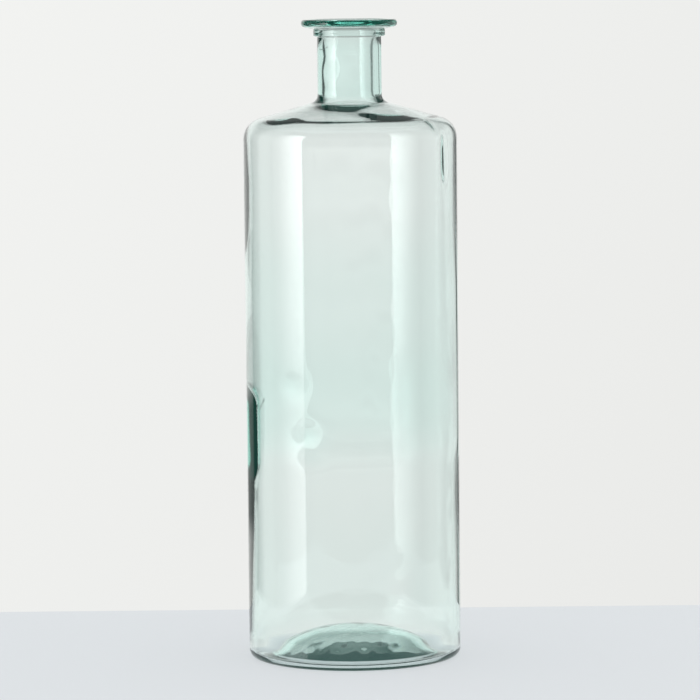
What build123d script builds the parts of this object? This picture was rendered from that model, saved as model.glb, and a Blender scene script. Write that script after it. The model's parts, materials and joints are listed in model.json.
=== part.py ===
"""Tall bottle vase of pale green recycled glass.

The vase is a thick-walled bottle: a domed base, a straight body, a sloping
shoulder, a narrow neck, a collar ring laid round the neck and a wide flat lip.
Each zone of the glass is its own solid, and the zones meet face to face on
level seams. The origin is on the floor, under the middle of the base, with Z
up along the axis of the vase.
"""

import os
from math import cos, radians, tan

from build123d import *

# Driving dimensions, in millimetres, with angles in degrees
HEIGHT = 750.0
BODY_DIAMETER = 250.0
BODY_WALL = 4.0
SEAM_STANDOFF = 5.0

# Base: flat foot ring, rounded heel and a high dome pushed up in the middle, with a trough round it
HEEL_RADIUS = 9.0
FOOT_RING_WIDTH = 21.0
PUNT_HEIGHT = 27.0
FLOOR_RIM_THICKNESS = 4.5
FLOOR_CENTRE_THICKNESS = 7.0
TROUGH_WIDTH = 18.0
TROUGH_RADIUS = 10.0
INNER_HEEL_RADIUS = 6.0

# Shoulder: a shallow cone between the body and the neck
SHOULDER_SLOPE = 15.9
SHOULDER_THICKNESS = 3.5
SHOULDER_RADIUS = 25.0
INNER_SHOULDER_RADIUS = 22.0
NECK_FILLET = 10.0
BORE_FLARE_RADIUS = 16.0

# Neck: its height runs from the shoulder's corner to the top of the lip
NECK_HEIGHT = 95.0
BORE_DIAMETER = 59.0
NECK_WALL = 8.0

# Collar ring, standing out from the neck, and lip, standing out from the collar
COLLAR_PROJECTION = 4.5
COLLAR_HEIGHT = 8.2
COLLAR_EDGE_RADIUS = 1.8
LIP_OVERHANG = 14.2
LIP_EDGE_THICKNESS = 8.0
LIP_ROOT_THICKNESS = 11.5
LIP_EDGE_RADIUS = 4.2

# Mouth: the bore opens like a trumpet, gently up through the collar and then wide to the top of the lip
TRUMPET_LENGTH = 18.5
TRUMPET_BEND_RADIUS = 50.0
FLARE_STANDOFF = 3.0
FLARE_WIDENING = 5.5
FLARE_BEND_RADIUS = 5.0
MOUTH_WIDENING = 18.5
MOUTH_EDGE_RADIUS = 8.0

# Radii, worked out from the body and from the bore
body_radius = BODY_DIAMETER / 2
cavity_radius = body_radius - BODY_WALL
foot_inner_radius = body_radius - HEEL_RADIUS - FOOT_RING_WIDTH
dome_radius = cavity_radius - TROUGH_WIDTH
bore_radius = BORE_DIAMETER / 2
neck_radius = bore_radius + NECK_WALL
collar_radius = neck_radius + COLLAR_PROJECTION
lip_radius = collar_radius + LIP_OVERHANG
flare_radius = bore_radius + FLARE_WIDENING
mouth_radius = bore_radius + MOUTH_WIDENING

# Heights of the shoulder's corners, outside and inside
slope = tan(radians(SHOULDER_SLOPE))
shoulder_drop = SHOULDER_THICKNESS / cos(radians(SHOULDER_SLOPE))
neck_foot_z = HEIGHT - NECK_HEIGHT


def shoulder_z(radius):
    """Height of the shoulder's outer cone at a radius."""
    return neck_foot_z - (radius - neck_radius) * slope


body_corner_z = shoulder_z(body_radius)
cavity_corner_z = shoulder_z(cavity_radius) - shoulder_drop
bore_foot_z = shoulder_z(bore_radius) - shoulder_drop

# Level seams between the zones, clear of every curve that ends near them
tangent_share = tan(radians(90 - SHOULDER_SLOPE) / 2)
floor_centre_z = PUNT_HEIGHT + FLOOR_CENTRE_THICKNESS
base_seam_z = max(HEEL_RADIUS, FLOOR_RIM_THICKNESS + INNER_HEEL_RADIUS) + SEAM_STANDOFF
shoulder_seam_z = min(
    body_corner_z - SHOULDER_RADIUS * tangent_share,
    cavity_corner_z - INNER_SHOULDER_RADIUS * tangent_share,
) - SEAM_STANDOFF
neck_seam_z = max(
    neck_foot_z + NECK_FILLET * tangent_share,
    bore_foot_z + BORE_FLARE_RADIUS * tangent_share,
) + SEAM_STANDOFF
lip_seat_z = HEIGHT - LIP_ROOT_THICKNESS
lip_edge_z = HEIGHT - LIP_EDGE_THICKNESS

# Mouth's heights, and its radius at the lip's seat
trumpet_z = lip_seat_z - TRUMPET_LENGTH
flare_z = lip_seat_z + FLARE_STANDOFF
seat_radius = bore_radius + FLARE_WIDENING * TRUMPET_LENGTH / (TRUMPET_LENGTH + FLARE_STANDOFF)

os.makedirs("parts", exist_ok=True)

# Base: the dish that closes the bottom, with the start of the wall
with BuildPart() as base:
    with BuildSketch(Plane.XZ) as base_section:
        with BuildLine():
            punt = TangentArc((0, PUNT_HEIGHT), (foot_inner_radius, 0), tangent=(1, 0))
            shell = Polyline(
                punt @ 1,
                (body_radius, 0),
                (body_radius, base_seam_z),
                (cavity_radius, base_seam_z),
                (cavity_radius, FLOOR_RIM_THICKNESS),
                (dome_radius, FLOOR_RIM_THICKNESS),
            )
            floor = TangentArc((0, floor_centre_z), shell @ 1, tangent=(1, 0))
            Line(punt @ 0, floor @ 0)
        make_face()
        for corner, radius in (
            ((dome_radius, FLOOR_RIM_THICKNESS), TROUGH_RADIUS),
            ((cavity_radius, FLOOR_RIM_THICKNESS), INNER_HEEL_RADIUS),
            ((body_radius, 0), HEEL_RADIUS),
        ):
            fillet(base_section.vertices().sort_by_distance(corner)[0], radius=radius)
    revolve(axis=Axis.Z)
base.part.label = "base"
export_step(base.part, "parts/base.step")

# Body wall: a straight tube from the base's seam to the shoulder's seam
with BuildPart() as body_wall:
    with BuildSketch(Plane.XY.offset(base_seam_z)):
        Circle(body_radius)
        Circle(cavity_radius, mode=Mode.SUBTRACT)
    extrude(amount=shoulder_seam_z - base_seam_z)
body_wall.part.label = "body_wall"
export_step(body_wall.part, "parts/body_wall.step")

# Shoulder: rounded corner, sloping cone and the fillet up to the neck
with BuildPart() as shoulder:
    with BuildSketch(Plane.XZ):
        with BuildLine():
            outside = FilletPolyline(
                (body_radius, shoulder_seam_z),
                (body_radius, body_corner_z),
                (neck_radius, neck_foot_z),
                (neck_radius, neck_seam_z),
                radius=[SHOULDER_RADIUS, NECK_FILLET],
            )
            inside = FilletPolyline(
                (cavity_radius, shoulder_seam_z),
                (cavity_radius, cavity_corner_z),
                (bore_radius, bore_foot_z),
                (bore_radius, neck_seam_z),
                radius=[INNER_SHOULDER_RADIUS, BORE_FLARE_RADIUS],
            )
            Line(outside @ 0, inside @ 0)
            Line(outside @ 1, inside @ 1)
        make_face()
    revolve(axis=Axis.Z)
shoulder.part.label = "shoulder"
export_step(shoulder.part, "parts/shoulder.step")

# Neck: a thick tube from the shoulder up to the lip's seat, where its bore begins to widen
with BuildPart() as neck:
    with BuildSketch(Plane.XZ):
        with BuildLine():
            bore = FilletPolyline(
                (bore_radius, neck_seam_z),
                (bore_radius, trumpet_z),
                (seat_radius, lip_seat_z),
                radius=TRUMPET_BEND_RADIUS,
            )
            Polyline(
                bore @ 1,
                (neck_radius, lip_seat_z),
                (neck_radius, neck_seam_z),
                bore @ 0,
            )
        make_face()
    revolve(axis=Axis.Z)
neck.part.label = "neck"
export_step(neck.part, "parts/neck.step")

# Collar ring: a bead of glass round the neck, close under the lip
with BuildPart() as collar_ring:
    with BuildSketch(Plane.XY.offset(lip_seat_z - COLLAR_HEIGHT)):
        Circle(collar_radius)
        Circle(neck_radius, mode=Mode.SUBTRACT)
    extrude(amount=COLLAR_HEIGHT)
    rims = collar_ring.edges().filter_by(GeomType.CIRCLE).group_by(SortBy.RADIUS)[-1]
    fillet(rims, radius=COLLAR_EDGE_RADIUS)
collar_ring.part.label = "collar_ring"
export_step(collar_ring.part, "parts/collar_ring.step")

# Lip ring: a wide flange with a round edge, a sloping underside and a flared mouth
with BuildPart() as lip_ring:
    with BuildSketch(Plane.XZ):
        with BuildLine():
            lip_outline = FilletPolyline(
                (collar_radius, lip_seat_z),
                (lip_radius, lip_edge_z),
                (lip_radius, HEIGHT),
                (mouth_radius, HEIGHT),
                (flare_radius, flare_z),
                (seat_radius, lip_seat_z),
                radius=[LIP_EDGE_RADIUS, LIP_EDGE_RADIUS, MOUTH_EDGE_RADIUS, FLARE_BEND_RADIUS],
            )
            Line(lip_outline @ 1, lip_outline @ 0)
        make_face()
    revolve(axis=Axis.Z)
lip_ring.part.label = "lip_ring"
export_step(lip_ring.part, "parts/lip_ring.step")
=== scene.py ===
"""Looks of the bottle vase: one blown vessel of pale green glass on a plain table.

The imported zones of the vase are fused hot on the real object, so one closed
mesh stands for them all. Its outside follows the zones' outline. Its inside
has the uneven wall of blown glass. Lengths are in metres.
"""

import json
import math

import bpy
import numpy as np
from mathutils import Euler, Matrix, Vector


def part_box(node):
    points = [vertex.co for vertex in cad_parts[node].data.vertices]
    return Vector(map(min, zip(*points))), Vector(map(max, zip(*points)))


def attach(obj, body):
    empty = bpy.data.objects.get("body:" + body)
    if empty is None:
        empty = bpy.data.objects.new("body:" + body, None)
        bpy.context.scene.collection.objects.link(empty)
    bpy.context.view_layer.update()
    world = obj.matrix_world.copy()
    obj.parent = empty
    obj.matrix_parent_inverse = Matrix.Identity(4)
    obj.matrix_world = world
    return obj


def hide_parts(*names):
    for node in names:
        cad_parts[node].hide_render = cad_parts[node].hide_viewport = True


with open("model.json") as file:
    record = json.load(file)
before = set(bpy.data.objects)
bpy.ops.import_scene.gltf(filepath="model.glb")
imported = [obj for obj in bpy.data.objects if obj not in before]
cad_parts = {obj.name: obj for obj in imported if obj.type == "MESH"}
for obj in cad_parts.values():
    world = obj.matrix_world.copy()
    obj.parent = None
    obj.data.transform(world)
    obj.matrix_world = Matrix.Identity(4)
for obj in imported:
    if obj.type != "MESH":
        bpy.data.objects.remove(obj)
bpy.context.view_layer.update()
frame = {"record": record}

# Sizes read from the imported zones
MM_PER_METRE = 1000
lip_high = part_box("lip_ring")[1]
collar_low, collar_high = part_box("collar_ring")
mouth = next(mount for mount in frame["record"]["mounts"] if mount["name"] == "mouth")
height = lip_high.z
body_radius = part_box("body_wall")[1].x
neck_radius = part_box("neck")[1].x
collar_radius = collar_high.x
lip_radius = lip_high.x
bore_radius = mouth["dims"]["r_mm"] / MM_PER_METRE

# Outline: sizes that the boxes don't give, with the even wall that the uneven one departs from
BODY_WALL = 0.003
HEEL_RADIUS = 0.009
FOOT_RING_WIDTH = 0.021
PUNT_HEIGHT = 0.027
FLOOR_RIM_THICKNESS = 0.0045
FLOOR_CENTRE_THICKNESS = 0.007
DOME_RADIUS = 0.101
TROUGH_SOFTNESS = 0.0025
DOME_POWER = 2.5
INNER_HEEL_RADIUS = 0.006
SHOULDER_SLOPE = math.radians(15.9)
SHOULDER_THICKNESS = 0.0030
SHOULDER_RADIUS = 0.025
INNER_SHOULDER_RADIUS = 0.0225
NECK_HEIGHT = 0.095
NECK_FILLET = 0.010
BORE_FLARE_RADIUS = 0.016
TRUMPET_DEPTH = 0.030
TRUMPET_BEND_RADIUS = 0.050
FLARE_DEPTH = 0.0085
FLARE_RADIUS = 0.035
FLARE_BEND_RADIUS = 0.005
MOUTH_RADIUS = 0.048
MOUTH_EDGE_RADIUS = 0.008
COLLAR_ROOT_RADIUS = 0.0012
COLLAR_EDGE_RADIUS = 0.0018
COLLAR_GROOVE_DEPTH = 0.0008
LIP_EDGE_THICKNESS = 0.008
LIP_EDGE_RADIUS = 0.0042

# Mesh density: sides of each ring, and the steps along the section
SIDES = 256
ARC_STEP = math.radians(9)
OUTER_STEP = 0.030
INNER_STEP = 0.0055
DOME_STEPS = 32
GROWTH = 2.0

# Wall thickness from the foot up, as height and thickness, on three sides
LEFT_WALL = ((0.010, 0.0030), (0.03, 0.0050), (0.19, 0.0056), (0.212, 0.0060), (0.232, 0.0130),
             (0.300, 0.0130), (0.325, 0.0045), (0.55, 0.0045), (0.61, 0.0034), (0.63, 0.0030))
FRONT_WALL = ((0.010, 0.0030), (0.03, 0.0046), (0.10, 0.0044), (0.20, 0.0037), (0.235, 0.0040),
              (0.268, 0.0066), (0.31, 0.0072), (0.42, 0.0054), (0.54, 0.0034), (0.61, 0.0028),
              (0.63, 0.0030))
RIGHT_WALL = ((0.010, 0.0030), (0.03, 0.0045), (0.45, 0.0045), (0.54, 0.0040), (0.61, 0.0034),
              (0.63, 0.0030))

# Middles and spreads of the left and right walls, in degrees, and the radius where the uneven wall starts
LEFT_SIDE = 178
LEFT_SPREAD = 11.5
RIGHT_SIDE = 0
RIGHT_SPREAD = 22.0
UNEVEN_FROM_RADIUS = 0.100

# Local swells of the glass: turn in degrees, radius, height, reach round the axis and along the wall, depth
SWELLS = (
    # Shoulder
    (275, 0.0400, 0.651, 0.030, 0.016, 0.0025),
    (302, 0.079, 0.640, 0.019, 0.0115, 0.0026),
    (216, 0.097, 0.635, 0.016, 0.008, 0.0026),
    (250, 0.101, 0.634, 0.036, 0.004, 0.0005),
    # Neck
    (228, 0.0295, 0.690, 0.006, 0.007, 0.0012),
    (233, 0.0295, 0.676, 0.005, 0.006, -0.0010),
    (224, 0.0295, 0.705, 0.006, 0.006, -0.0010),
    (236, 0.0295, 0.699, 0.004, 0.004, 0.0006),
    (60, 0.0295, 0.715, 0.010, 0.020, -0.0008),
    # Wall in front, on the left
    (235, 0.1200, 0.331, 0.014, 0.010, 0.0028),
    (243, 0.1200, 0.276, 0.016, 0.011, 0.0036),
    (246, 0.1200, 0.247, 0.013, 0.006, 0.0020),
    # Wall at the back
    (62, 0.1210, 0.062, 0.012, 0.014, -0.0012),
    (63, 0.1200, 0.330, 0.012, 0.016, -0.0010),
    # Bead at the top of the wall, on the right
    (332, 0.1210, 0.583, 0.0035, 0.012, 0.0022),
    (331, 0.1205, 0.606, 0.0030, 0.010, 0.0010),
    (325, 0.1140, 0.624, 0.0040, 0.006, 0.0010),
)

# Waves in the wall and the base: count, shortest and longest wavelength, and height of each
WALL_WAVES = (10, 0.030, 0.070, 0.00007)
BASE_WAVES = (16, 0.012, 0.030, 0.000008)
WAVE_SEED = 7

# Side and spread of the wall's waves, in degrees, and the radii between which the base's waves come in
WALL_WAVE_SIDE = 63
WALL_WAVE_SPREAD = 22.0
BASE_WAVE_RADII = (0.100, 0.085)

# Camera, placed where the photograph was taken from
CAMERA_PLACE = Vector((-0.0026, -4.866, 0.8373))
CAMERA_PITCH = math.radians(-5.58)
CAMERA_ROLL = math.radians(-0.573)
CAMERA_LENS_MM = 213.7
CAMERA_SENSOR_MM = 36.0

# Table, with a painted shadow under the base
TABLE_COLOUR = (0.745, 0.776, 0.799, 1.0)
TABLE_BACK = 0.34
TABLE_FRONT = -0.45
TABLE_HALF_WIDTH = 0.52
TABLE_THICKNESS = 0.03
TABLE_GAP = 0.0003
TABLE_GLOW_SHARE = 0.7
TABLE_FADE = (0.08, 0.16)
# Painted shadow: a dark green glow in a disc under the base, set off-centre towards the back, standing in
# for the shade there
PAINTED_SHADOW_COLOUR = (0.025, 0.078, 0.070, 1.0)
PAINTED_SHADOW_MIDDLE = (0.0, 0.030, 0.0)
PAINTED_SHADOW_RADII = (0.088, 0.100)

# Studio, in degrees to the right of the backdrop's middle and above the horizon
WHITE = (1.0, 1.0, 1.0, 1.0)
BACKDROP_COLOUR = (0.872, 0.878, 0.862, 1.0)
BACKDROP_SIDE_GRADIENT = -0.0045
BACKDROP_RISE_GRADIENT = 0.004
BACKDROP_GRADIENT_EDGES = (40.0, 20.0)
ACROSS_LEVELS = ((-180, 0.10), (-100, 0.12), (-80, 0.50), (-64, 0.60), (-58, 0.05), (-44, 0.05),
                 (-40, 0.92), (-15, 1.0), (16, 1.0), (19, 0.15), (24, 0.15), (27, 0.90), (70, 0.90),
                 (90, 0.40), (100, 0.12), (180, 0.10))
ABOVE_LEVELS = ((-90, 0.7), (-30, 0.8), (-12, 1.0), (15, 1.0), (20, 0.75), (26, 0.30), (44, 0.20),
                (50, 0.12), (90, 0.10))
LOW_CARD_SIDES = ((-46, -42), (-14, -18))
LOW_CARD_EDGES = ((-8.2, -7.8), (-6.0, -6.4))
LOW_CARD_SHARE = 0.6
FRONT_LEVELS = ((-90, 0.0), (-12, 0.15), (-8, 0.40), (-5, 0.45), (-3, 0.85), (-2, 0.30), (-1, 0.0),
                (90, 0.0))
FRONT_EDGES = (110, 140)
HALF_A_BOUNCE = 0.5

# Softbox: the middles of its upright edges, and ramps across and up it as start, end, low and high
SOFTBOX_NEAR_EDGE = (-0.741, -0.613, 0.525)
SOFTBOX_FAR_EDGE = (-1.045, -0.037, 0.525)
SOFTBOX_HEIGHT = 1.25
SOFTBOX_RADIANCE = 3.4
SOFTBOX_ACROSS = (0.0, 0.95, 0.08, 1.0)
SOFTBOX_UP = (0.174, 0.576, 0.6, 1.2)

# Glass: its faint glow fills in for long inner paths that the limit on bounces cuts to black
GLASS_IOR = 1.52
ABSORPTION_COLOUR = (0.0, 0.86, 0.70, 1.0)
ABSORPTION_PER_METRE = 13.5
GLOW_COLOUR = (0.10, 0.50, 0.42, 1.0)
GLOW_PER_METRE = 1.0


def rounded(corners):
    """Points along a polyline whose inner corners, each (r, z, radius), are rounded by arcs."""
    points = [np.array(corners[0][:2])]
    for before, corner, after in zip(corners, corners[1:], corners[2:]):
        here = np.array(corner[:2])
        back = np.array(before[:2]) - here
        ahead = np.array(after[:2]) - here
        back /= np.linalg.norm(back)
        ahead /= np.linalg.norm(ahead)
        half = math.acos(np.clip(back @ ahead, -1, 1)) / 2
        turn = math.pi - 2 * half
        middle = (back + ahead) / np.linalg.norm(back + ahead)
        centre = here + middle * corner[2] / math.sin(half)
        first = here + back * corner[2] / math.tan(half) - centre
        last = here + ahead * corner[2] / math.tan(half) - centre
        steps = max(2, math.ceil(turn / ARC_STEP))
        for step in range(steps + 1):
            share = step / steps
            spoke = (math.sin((1 - share) * turn) * first + math.sin(share * turn) * last) / math.sin(turn)
            points.append(centre + spoke)
    points.append(np.array(corners[-1][:2]))
    return points


def graded(points, longest):
    """The same line with its long runs divided, in steps that grow away from the short ones."""
    lengths = [np.linalg.norm(b - a) for a, b in zip(points, points[1:])]
    out = [points[0]]
    for i, (a, b) in enumerate(zip(points, points[1:])):
        first = lengths[i - 1] if i else longest
        last = lengths[i + 1] if i + 1 < len(lengths) else longest
        near, far = [], []
        left = lengths[i]
        while left > 0:
            side, step = (near, first) if sum(near) <= sum(far) else (far, last)
            step = min(longest, step * GROWTH ** (len(side) + 1))
            if step > left:
                break
            side.append(step)
            left -= step
        steps = np.array(near + far[::-1] or [1.0])
        for place in np.cumsum(steps)[:-1] / steps.sum():
            out.append(a + (b - a) * place)
        out.append(b)
    return out


def outline():
    """The glass section, outside from the middle of the underside up, and inside from the top down."""
    slope = math.tan(SHOULDER_SLOPE)
    foot_z = height - NECK_HEIGHT
    cavity_radius = body_radius - BODY_WALL
    cavity_z = foot_z - (cavity_radius - neck_radius) * slope - SHOULDER_THICKNESS / math.cos(SHOULDER_SLOPE)
    foot_radius = body_radius - HEEL_RADIUS - FOOT_RING_WIDTH
    groove_radius = collar_radius - COLLAR_GROOVE_DEPTH
    floor_z = PUNT_HEIGHT + FLOOR_CENTRE_THICKNESS
    corners = [
        (foot_radius, 0.0, 0.0),
        (body_radius, 0.0, HEEL_RADIUS),
        (body_radius, foot_z - (body_radius - neck_radius) * slope, SHOULDER_RADIUS),
        (neck_radius, foot_z, NECK_FILLET),
        (neck_radius, collar_low.z, COLLAR_ROOT_RADIUS),
        (collar_radius, collar_low.z, COLLAR_EDGE_RADIUS),
        (collar_radius, collar_high.z - COLLAR_GROOVE_DEPTH, COLLAR_EDGE_RADIUS),
        (groove_radius, collar_high.z, COLLAR_GROOVE_DEPTH / 2),
        (lip_radius, height - LIP_EDGE_THICKNESS, LIP_EDGE_RADIUS),
        (lip_radius, height, LIP_EDGE_RADIUS),
        (MOUTH_RADIUS, height, MOUTH_EDGE_RADIUS),
        (FLARE_RADIUS, height - FLARE_DEPTH, FLARE_BEND_RADIUS),
        (bore_radius, height - TRUMPET_DEPTH, TRUMPET_BEND_RADIUS),
        (bore_radius, cavity_z + (cavity_radius - bore_radius) * slope, BORE_FLARE_RADIUS),
        (cavity_radius, cavity_z, INNER_SHOULDER_RADIUS),
        (cavity_radius, FLOOR_RIM_THICKNESS, INNER_HEEL_RADIUS),
        (DOME_RADIUS, FLOOR_RIM_THICKNESS, 0.0),
    ]
    wall = rounded(corners)[1:-1]
    spread = np.linspace(0, foot_radius, DOME_STEPS)
    underside = [np.array((r, dome(r, foot_radius, PUNT_HEIGHT))) for r in spread]
    floor = []
    for r in np.linspace(wall[-1][0], 0, DOME_STEPS):
        rise = dome(r, DOME_RADIUS, floor_z - FLOOR_RIM_THICKNESS)
        rise = (rise + math.hypot(rise, TROUGH_SOFTNESS)) / 2
        floor.append(np.array((r, FLOOR_RIM_THICKNESS + rise)))
    top = max(range(len(wall)), key=lambda i: wall[i][1])
    return graded(underside + wall[:top + 1], OUTER_STEP), graded(wall[top:] + floor, INNER_STEP)[1:]


def dome(r, edge_radius, rise):
    """Height of a push-up over its edge: level at its middle, steeper towards the edge."""
    return rise * (1 - (r / edge_radius) ** DOME_POWER)


def smooth_through(knots, z):
    """Values of a smooth curve through the knots, each (height, value), at heights z."""
    places, values = np.array(knots).T
    i = np.clip(np.searchsorted(places, z) - 1, 0, len(places) - 2)
    share = np.clip((z - places[i]) / (places[i + 1] - places[i]), 0, 1)
    share = share * share * (3 - 2 * share)
    return values[i] + (values[i + 1] - values[i]) * share


def degrees_off(turn, side):
    """Degrees round the axis from a side to each turn, the shorter way."""
    return (np.degrees(turn) - side + 180) % 360 - 180


def lobe(turn, side, spread):
    """A smooth lobe round the axis: one at the side, in degrees, and nothing well away from it."""
    return np.exp(-0.5 * (degrees_off(turn, side) / spread) ** 2)


def swell(turn, r, z):
    """How far the local swells stand into the vase at each place on its inside."""
    depth = np.zeros(np.broadcast(turn, r).shape)
    for side, place_r, place_z, reach, length, most in SWELLS:
        round_axis = np.radians(degrees_off(turn, side)) * r / reach
        away = round_axis ** 2 + ((r - place_r) ** 2 + (z - place_z) ** 2) / length ** 2
        depth += most * np.exp(-0.5 * away)
    return depth


def waves(points, count, shortest, longest, rise):
    """Heights of a spread of small waves, each its own way, at each of the points."""
    dice = np.random.default_rng(WAVE_SEED)
    total = np.zeros(points.shape[:-1])
    for _ in range(count):
        way = dice.normal(size=3)
        way *= 2 * math.pi / np.linalg.norm(way) / dice.uniform(shortest, longest)
        total += rise * np.cos(points @ way + dice.uniform(0, 2 * math.pi))
    return total


def uneven_wall(turn, z):
    """Thickness of the blown wall at each turn and height."""
    front = smooth_through(FRONT_WALL, z)
    left = smooth_through(LEFT_WALL, z) - front
    right = smooth_through(RIGHT_WALL, z) - front
    return front + left * lobe(turn, LEFT_SIDE, LEFT_SPREAD) + right * lobe(turn, RIGHT_SIDE, RIGHT_SPREAD)


def glass_depth(turn, r, z, inside):
    """How far each place stands out from the even section, row by row."""
    depth = np.where(r > UNEVEN_FROM_RADIUS, uneven_wall(turn, z) - BODY_WALL, 0) + swell(turn, r, z)
    even = np.stack(np.broadcast_arrays(r * np.cos(turn), r * np.sin(turn), z), -1)
    ripple = waves(even, *WALL_WAVES) * lobe(turn, WALL_WAVE_SIDE, WALL_WAVE_SPREAD)
    start, end = BASE_WAVE_RADII
    base_top = PUNT_HEIGHT + FLOOR_CENTRE_THICKNESS + BODY_WALL
    base_share = np.clip((start - r) / (start - end), 0, 1) * (z < base_top)
    depth = np.where(inside, depth + ripple * (1 - base_share), 0)
    return depth + waves(even, *BASE_WAVES) * base_share


def ring_faces(count):
    """Faces of a closed skin over a number of rings, with a fan of triangles at each end."""
    pairs = [(a, (a + 1) % SIDES) for a in range(SIDES)]
    faces = [(0, 1 + b, 1 + a) for a, b in pairs]
    for row in range(count - 1):
        low = 1 + row * SIDES
        high = low + SIDES
        faces += [(low + a, low + b, high + b, high + a) for a, b in pairs]
    end = 1 + (count - 1) * SIDES
    last = end + SIDES
    faces += [(end + a, end + b, last) for a, b in pairs]
    return faces


def build_vessel():
    """The glass as one closed mesh: its outline turned round the axis, with an uneven inside."""
    outside, lining = outline()
    line = np.array(outside + lining)
    turn = np.arange(SIDES) * 2 * math.pi / SIDES
    along = np.gradient(line, axis=0)[1:-1]
    along /= np.linalg.norm(along, axis=1)[:, None]
    rows = line[1:-1]
    inside = np.arange(1, len(line) - 1)[:, None] >= len(outside)
    r, z = rows[:, :1], rows[:, 1:]
    depth = glass_depth(turn, r, z, inside)
    r = r + depth * along[:, 1:]
    z = z - depth * along[:, :1]
    points = np.stack([r * np.cos(turn), r * np.sin(turn), z], -1).reshape(-1, 3)
    points = np.vstack([[(0, 0, line[0, 1])], points, [(0, 0, line[-1, 1])]])
    mesh = bpy.data.meshes.new("glass_vessel")
    mesh.from_pydata(points.tolist(), [], ring_faces(len(rows)))
    mesh.shade_smooth()
    vessel = bpy.data.objects.new("glass_vessel", mesh)
    bpy.context.scene.collection.objects.link(vessel)
    return vessel


def connect(tree, value, socket):
    """Links a socket to another, or gives it a number."""
    if isinstance(value, (int, float)):
        socket.default_value = value
    else:
        tree.links.new(value, socket)


def arithmetic(tree, operation, *values):
    """A math node on numbers and sockets."""
    node = tree.nodes.new("ShaderNodeMath")
    node.operation = operation
    for value, socket in zip(values, node.inputs):
        connect(tree, value, socket)
    return node.outputs["Value"]


def smooth_step(tree, value, start, end, low=0.0, high=1.0):
    """A smooth step from low at start to high at end."""
    node = tree.nodes.new("ShaderNodeMapRange")
    node.interpolation_type = "SMOOTHSTEP"
    tree.links.new(value, node.inputs["Value"])
    for name, number in zip(("From Min", "From Max", "To Min", "To Max"), (start, end, low, high)):
        node.inputs[name].default_value = number
    return node.outputs["Result"]


def split_axes(tree, vector):
    """A vector's X, Y and Z."""
    node = tree.nodes.new("ShaderNodeSeparateXYZ")
    tree.links.new(vector, node.inputs["Vector"])
    return node.outputs


def shining(tree, colour, strength=1.0):
    """An even glow of one colour."""
    node = tree.nodes.new("ShaderNodeEmission")
    node.inputs["Color"].default_value = colour
    node.inputs["Strength"].default_value = strength
    return node.outputs["Emission"]


def mixed(tree, share, first, second):
    """Two shaders mixed, with this share of the second."""
    node = tree.nodes.new("ShaderNodeMixShader")
    connect(tree, share, node.inputs["Fac"])
    tree.links.new(first, node.inputs[1])
    tree.links.new(second, node.inputs[2])
    return node.outputs["Shader"]


def glass_material():
    """Clear glass whose green comes from the light that it absorbs on the way through."""
    material = bpy.data.materials.new("green_glass")
    material.use_nodes = True
    tree = material.node_tree
    shader = tree.nodes["Principled BSDF"]
    shader.inputs["Base Color"].default_value = WHITE
    shader.inputs["Transmission Weight"].default_value = 1
    shader.inputs["Roughness"].default_value = 0
    shader.inputs["IOR"].default_value = GLASS_IOR
    tint = tree.nodes.new("ShaderNodeVolumeAbsorption")
    tint.inputs["Color"].default_value = ABSORPTION_COLOUR
    tint.inputs["Density"].default_value = ABSORPTION_PER_METRE
    both = tree.nodes.new("ShaderNodeAddShader")
    tree.links.new(tint.outputs["Volume"], both.inputs[0])
    tree.links.new(shining(tree, GLOW_COLOUR, GLOW_PER_METRE), both.inputs[1])
    tree.links.new(both.outputs["Shader"], tree.nodes["Material Output"].inputs["Volume"])
    return material


def table_material():
    """A matt table with a painted shadow under the base, which glass sees fade into the backdrop behind the
    vase.
    """
    material = bpy.data.materials.new("table")
    material.use_nodes = True
    tree = material.node_tree
    shader = tree.nodes["Principled BSDF"]
    shader.inputs["Base Color"].default_value = TABLE_COLOUR
    shader.inputs["Roughness"].default_value = 1
    shader.inputs["Specular IOR Level"].default_value = 0
    top = mixed(tree, TABLE_GLOW_SHARE, shader.outputs["BSDF"], shining(tree, TABLE_COLOUR))
    # Painted shadow: a dark glow is mixed in over a disc under the base, by distance from the disc's middle
    place = tree.nodes.new("ShaderNodeTexCoord").outputs["Object"]
    away = tree.nodes.new("ShaderNodeVectorMath")
    away.operation = "DISTANCE"
    away.inputs[1].default_value = PAINTED_SHADOW_MIDDLE
    tree.links.new(place, away.inputs[0])
    clear = smooth_step(tree, away.outputs["Value"], *PAINTED_SHADOW_RADII)
    top = mixed(tree, clear, shining(tree, PAINTED_SHADOW_COLOUR), top)
    fade = smooth_step(tree, split_axes(tree, place)["Y"], *TABLE_FADE)
    path = tree.nodes.new("ShaderNodeLightPath")
    through = arithmetic(tree, "MULTIPLY", path.outputs["Is Transmission Ray"], fade)
    top = mixed(tree, through, top, shining(tree, BACKDROP_COLOUR))
    tree.links.new(top, tree.nodes["Material Output"].inputs["Surface"])
    return material


def build_table():
    """A plain slab whose top lies just under the foot of the vase."""
    low = Vector((-TABLE_HALF_WIDTH, TABLE_FRONT, -TABLE_GAP - TABLE_THICKNESS))
    high = Vector((TABLE_HALF_WIDTH, TABLE_BACK, -TABLE_GAP))
    points = [(x, y, z) for z in (low.z, high.z) for y in (low.y, high.y) for x in (low.x, high.x)]
    faces = [(0, 2, 3, 1), (4, 5, 7, 6), (0, 1, 5, 4), (2, 6, 7, 3), (0, 4, 6, 2), (1, 3, 7, 5)]
    mesh = bpy.data.meshes.new("table")
    mesh.from_pydata(points, [], faces)
    mesh.materials.append(table_material())
    table = bpy.data.objects.new("table", mesh)
    bpy.context.scene.collection.objects.link(table)
    return table


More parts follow.
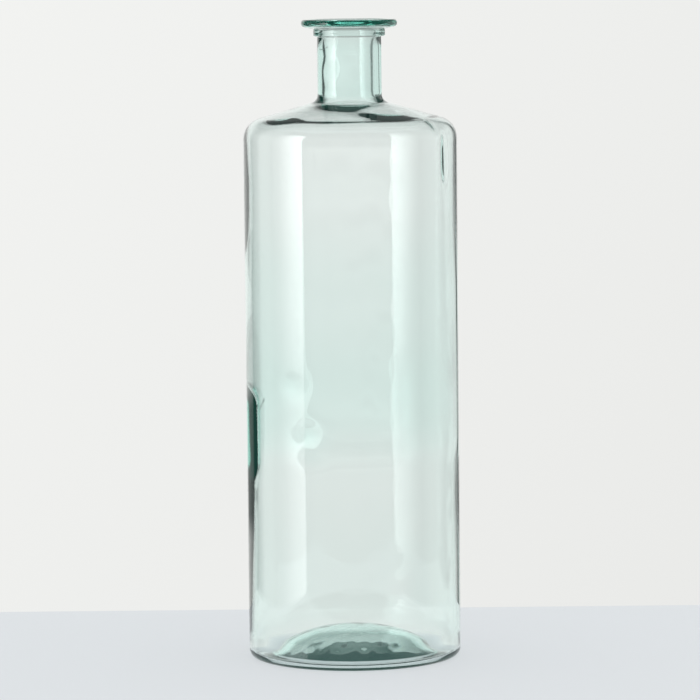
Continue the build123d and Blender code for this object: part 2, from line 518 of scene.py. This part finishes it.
class Studio:
    """Builds the world's nodes: what the camera and the glass see around the table."""

    def __init__(self):
        self.world = bpy.data.worlds.new("studio")
        self.world.use_nodes = True
        self.tree = self.world.node_tree
        self.tree.nodes.clear()
        direction = self.tree.nodes.new("ShaderNodeTexCoord").outputs["Generated"]
        x, y, z = split_axes(self.tree, direction)
        self.across = self.math("DEGREES", self.math("ARCTAN2", x, y))
        self.above = self.math("DEGREES", self.math("ARCSINE", z))

    def math(self, operation, *values):
        """A math node in the world's nodes."""
        return arithmetic(self.tree, operation, *values)

    def ramp(self, value, start, end):
        """A smooth step from nothing at start to one at end."""
        return smooth_step(self.tree, value, start, end)

    def curve(self, value, knots):
        """A level that runs straight from knot to knot, each (degrees, level)."""
        first, last = knots[0][0], knots[-1][0]
        place = self.tree.nodes.new("ShaderNodeMapRange")
        self.tree.links.new(value, place.inputs["Value"])
        place.inputs["From Min"].default_value = first
        place.inputs["From Max"].default_value = last
        node = self.tree.nodes.new("ShaderNodeValToRGB")
        stops = node.color_ramp.elements
        while len(stops) < len(knots):
            stops.new(1.0)
        for stop, (degrees, level) in zip(stops, knots):
            stop.position = (degrees - first) / (last - first)
            stop.color = (level, level, level, 1)
        self.tree.links.new(place.outputs["Result"], node.inputs["Fac"])
        return node.outputs["Color"]

    def times(self, *values):
        """The product of the values."""
        product = values[0]
        for value in values[1:]:
            product = self.math("MULTIPLY", product, value)
        return product

    def colour(self, colour, strength):
        """A background of one colour, whose strength is a number or a socket."""
        node = self.tree.nodes.new("ShaderNodeBackground")
        node.inputs["Color"].default_value = colour
        connect(self.tree, strength, node.inputs["Strength"])
        return node.outputs["Background"]

    def finish(self, look, even):
        """Rays from the camera, gloss and glass see the look. Rays that light the table see even."""
        path = self.tree.nodes.new("ShaderNodeLightPath").outputs
        seen = self.math("MAXIMUM", path["Is Camera Ray"], path["Is Glossy Ray"])
        seen = self.math("MAXIMUM", seen, path["Is Transmission Ray"])
        direct = self.math("LESS_THAN", path["Diffuse Depth"], HALF_A_BOUNCE)
        surface = mixed(self.tree, self.times(seen, direct), even, look)
        output = self.tree.nodes.new("ShaderNodeOutputWorld")
        self.tree.links.new(surface, output.inputs["Surface"])
        bpy.context.scene.world = self.world


def build_studio():
    """A pale backdrop behind the table with dark cards beside it, in a room that is dim above."""
    studio = Studio()
    side = studio.math("MULTIPLY_ADD", studio.across, BACKDROP_SIDE_GRADIENT, 1.0)
    gradient = studio.math("MULTIPLY_ADD", studio.above, BACKDROP_RISE_GRADIENT, side)
    near = studio.ramp(studio.math("ABSOLUTE", studio.across), *BACKDROP_GRADIENT_EDGES)
    level = studio.math("ADD", studio.times(gradient, near), studio.math("SUBTRACT", 1.0, near))
    across = studio.curve(studio.across, ACROSS_LEVELS)
    above = studio.curve(studio.above, ABOVE_LEVELS)
    look = studio.times(level, across, above)
    card = [studio.ramp(studio.across, *edge) for edge in LOW_CARD_SIDES]
    card += [studio.ramp(studio.above, *edge) for edge in LOW_CARD_EDGES]
    look = studio.times(look, studio.math("MULTIPLY_ADD", studio.times(*card), -LOW_CARD_SHARE, 1.0))
    front = studio.ramp(studio.math("ABSOLUTE", studio.across), *FRONT_EDGES)
    look = studio.math("ADD", look, studio.times(front, studio.curve(studio.above, FRONT_LEVELS)))
    studio.finish(studio.colour(BACKDROP_COLOUR, look), studio.colour(WHITE, 1.0))


def build_softbox():
    """A tall softbox on the left, brightest at its near upright edge, that only the glass sees."""
    inner, outer = Vector(SOFTBOX_NEAR_EDGE), Vector(SOFTBOX_FAR_EDGE)
    light = bpy.data.lights.new("softbox", "AREA")
    light.shape = "RECTANGLE"
    light.size = (outer - inner).length
    light.size_y = SOFTBOX_HEIGHT
    light.energy = SOFTBOX_RADIANCE * math.pi * light.size * light.size_y
    light.use_nodes = True
    tree = light.node_tree
    place = split_axes(tree, tree.nodes.new("ShaderNodeNewGeometry").outputs["Parametric"])
    across_level = smooth_step(tree, place["X"], *SOFTBOX_ACROSS)
    up_level = smooth_step(tree, place["Y"], *SOFTBOX_UP)
    level = arithmetic(tree, "MULTIPLY", across_level, up_level)
    tree.links.new(level, tree.nodes["Emission"].inputs["Strength"])
    softbox = bpy.data.objects.new("softbox", light)
    middle = (inner + outer) / 2
    along = (outer - inner).normalized()
    up = Vector((0, 0, 1))
    facing = along.cross(up)
    turned = Matrix((along, up, facing)).transposed()
    if facing.dot(middle) < 0:
        turned = Matrix((-along, up, -facing)).transposed()
    softbox.matrix_world = Matrix.LocRotScale(middle, turned.to_quaternion(), None)
    softbox.visible_camera = False
    softbox.visible_diffuse = False
    bpy.context.scene.collection.objects.link(softbox)


def build_camera():
    """The camera of the photograph, tipped down a little."""
    data = bpy.data.cameras.new("camera")
    data.lens = CAMERA_LENS_MM
    data.sensor_width = CAMERA_SENSOR_MM
    camera = bpy.data.objects.new("camera", data)
    camera.location = CAMERA_PLACE
    level = Euler((math.pi / 2 + CAMERA_PITCH, 0, 0)).to_matrix()
    camera.rotation_euler = (level @ Euler((0, 0, CAMERA_ROLL)).to_matrix()).to_euler()
    bpy.context.scene.collection.objects.link(camera)
    bpy.context.scene.camera = camera


bpy.context.scene.view_settings.view_transform = "Standard"
build_camera()
build_table()
build_studio()
build_softbox()

vessel = build_vessel()
vessel.data.materials.append(glass_material())
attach(vessel, "root")
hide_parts("base", "body_wall", "shoulder", "neck", "collar_ring", "lip_ring")
